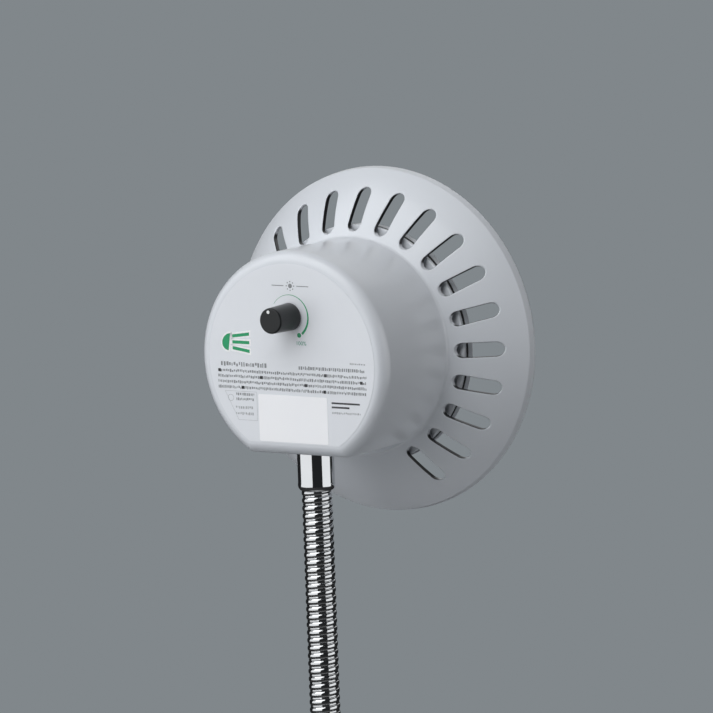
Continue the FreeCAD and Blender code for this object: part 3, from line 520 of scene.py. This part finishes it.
# ---------------------------------------------------------------- studio
AZIMUTH = math.radians(33.36)       # the camera stands this far round from -Y towards +X
ELEVATION = math.radians(8.04)
ROLL = math.radians(-2.10)
DISTANCE = 3.4122
LENS_MM = 322.1
SENSOR_MM = 36.0
AIM = Vector((-0.01692, RIM_Y, AXIS_Z - 0.01012))
BACKDROP = (0.219, 0.242, 0.258)
DARK_ROOM = (0.015, 0.016, 0.017)   # what everything but the camera sees beyond the lights
COOL = (0.97, 0.988, 1.0)           # colour of every light


def camera_axes():
    """Right, up and back of the camera."""
    back = Vector((math.sin(AZIMUTH) * math.cos(ELEVATION),
                   -math.cos(AZIMUTH) * math.cos(ELEVATION), math.sin(ELEVATION)))
    level = Vector((math.cos(AZIMUTH), math.sin(AZIMUTH), 0))
    top = back.cross(level)
    right = math.cos(ROLL) * level + math.sin(ROLL) * top
    up = -math.sin(ROLL) * level + math.cos(ROLL) * top
    return right, up, back


def add_camera():
    right, up, back = camera_axes()
    data = bpy.data.cameras.new("camera")
    data.lens = LENS_MM
    data.sensor_width = SENSOR_MM
    data.clip_start = 0.1
    data.clip_end = 60.0
    camera = bpy.data.objects.new("camera", data)
    place = AIM + DISTANCE * back
    camera.matrix_world = Matrix((
        (right.x, up.x, back.x, place.x), (right.y, up.y, back.y, place.y),
        (right.z, up.z, back.z, place.z), (0, 0, 0, 1)))
    bpy.context.scene.collection.objects.link(camera)
    bpy.context.scene.camera = camera


def softbox(name, azimuth, elevation, distance, width, height, radiance, lights):
    """Area light about the lamp head. azimuth is degrees to the right of the camera.
    lights says whether it lights matt surfaces, shows in glossy ones, or both."""
    turn = AZIMUTH + math.radians(azimuth)
    rise = math.radians(elevation)
    way = Vector((math.sin(turn) * math.cos(rise), -math.cos(turn) * math.cos(rise),
                  math.sin(rise)))
    data = bpy.data.lights.new(name, "AREA")
    data.shape = "RECTANGLE"
    data.size = width
    data.size_y = height
    data.energy = radiance * math.pi * width * height
    data.color = COOL
    light = bpy.data.objects.new(name, data)
    light.location = Vector((0, 0, AXIS_Z)) + way * distance
    light.rotation_euler = way.to_track_quat("Z", "Y").to_euler()
    light.visible_camera = False
    light.visible_diffuse = lights != "glossy"
    light.visible_glossy = lights != "matt"
    bpy.context.scene.collection.objects.link(light)


# name, azimuth, elevation, distance, width, height, radiance, lights
SOFTBOXES = (
    ("softbox_left", -66, 8, 1.3, 1.9, 1.2, 0.95, "matt"),
    ("softbox_left_high", -60, 46, 1.3, 1.6, 1.1, 1.76, "both"),
    ("softbox_front_high", -15, 55, 1.3, 1.2, 1.0, 1.72, "matt"),
    ("softbox_right", 80, 4, 1.3, 1.2, 1.3, 0.78, "matt"),
    ("softbox_rear_right", 140, 40, 1.3, 1.2, 1.4, 0.19, "both"),
    ("softbox_beyond", 168, 26, 1.5, 1.6, 1.2, 0.50, "both"),
    ("strip_left", -68, 0, 1.3, 2.4, 1.3, 0.86, "glossy"),
    ("strip_right", 68, 0, 1.3, 1.5, 1.3, 0.86, "glossy"),
)


def add_lights():
    for row in SOFTBOXES:
        softbox(*row)


def add_world():
    """Grey to the camera, and nearly dark to every other ray."""
    world = bpy.data.worlds.new("studio")
    bpy.context.scene.world = world
    world.use_nodes = True
    tree = world.node_tree
    tree.nodes.clear()
    seen = tree.nodes.new("ShaderNodeBackground")
    seen.inputs["Color"].default_value = (*BACKDROP, 1)
    unseen = tree.nodes.new("ShaderNodeBackground")
    unseen.inputs["Color"].default_value = (*DARK_ROOM, 1)
    path = tree.nodes.new("ShaderNodeLightPath")
    mix = tree.nodes.new("ShaderNodeMixShader")
    out = tree.nodes.new("ShaderNodeOutputWorld")
    link(tree, path, "Is Camera Ray", mix, 0)
    link(tree, unseen, "Background", mix, 1)
    link(tree, seen, "Background", mix, 2)
    link(tree, mix, 0, out, "Surface")


def floor_material():
    """Pale floor, which the chrome mirrors much darker than it is: in glossy rays it is painted dim, with a
    painted pool of light about the base.
    """
    pale = material("floor_pale", (0.50, 0.51, 0.52), (0.55, 0.7), shift=0.02, patch=3.0,
                    grain=400.0)
    tree = pale.node_tree
    # painted light: the floor as the chrome mirrors it, darker overall and brighter near the base
    mirrored_with_painted_light = tree.nodes.new("ShaderNodeBsdfDiffuse")
    place = tree.nodes.new("ShaderNodeTexCoord")
    from_base = maths(tree, "VectorMath", "LENGTH", place.outputs["Object"])
    near, far, bright, dim = 0.14, 0.26, 0.34, 0.05     # metres from the base's middle; the painted light in the mirrored floor fades from bright to dim between near and far
    tree.links.new(between(tree, from_base, near, far, bright, dim),
                   mirrored_with_painted_light.inputs["Color"])
    path = tree.nodes.new("ShaderNodeLightPath")
    mix = tree.nodes.new("ShaderNodeMixShader")
    link(tree, path, "Is Glossy Ray", mix, 0)
    link(tree, tree.nodes["Principled BSDF"], "BSDF", mix, 1)
    link(tree, mirrored_with_painted_light, "BSDF", mix, 2)
    link(tree, mix, 0, tree.nodes["Material Output"], "Surface")
    return pale


def add_floor():
    """Round pale floor that the base stands on."""
    radius, sides = 1.5, 96
    mesh = bmesh.new()
    rim = [mesh.verts.new((radius * math.cos(a), radius * math.sin(a), 0))
           for a in (2 * math.pi * k / sides for k in range(sides))]
    mesh.faces.new(rim)
    floor = finish_mesh(mesh, "floor", smooth=False)
    floor.location.z = base_low.z
    floor.data.materials.append(floor_material())


bpy.context.scene.view_settings.view_transform = "Standard"
add_camera()
add_lights()
add_world()
add_floor()
surfaces = make_materials()
dress_cad_nodes(surfaces)
gooseneck(surfaces)
print_film()
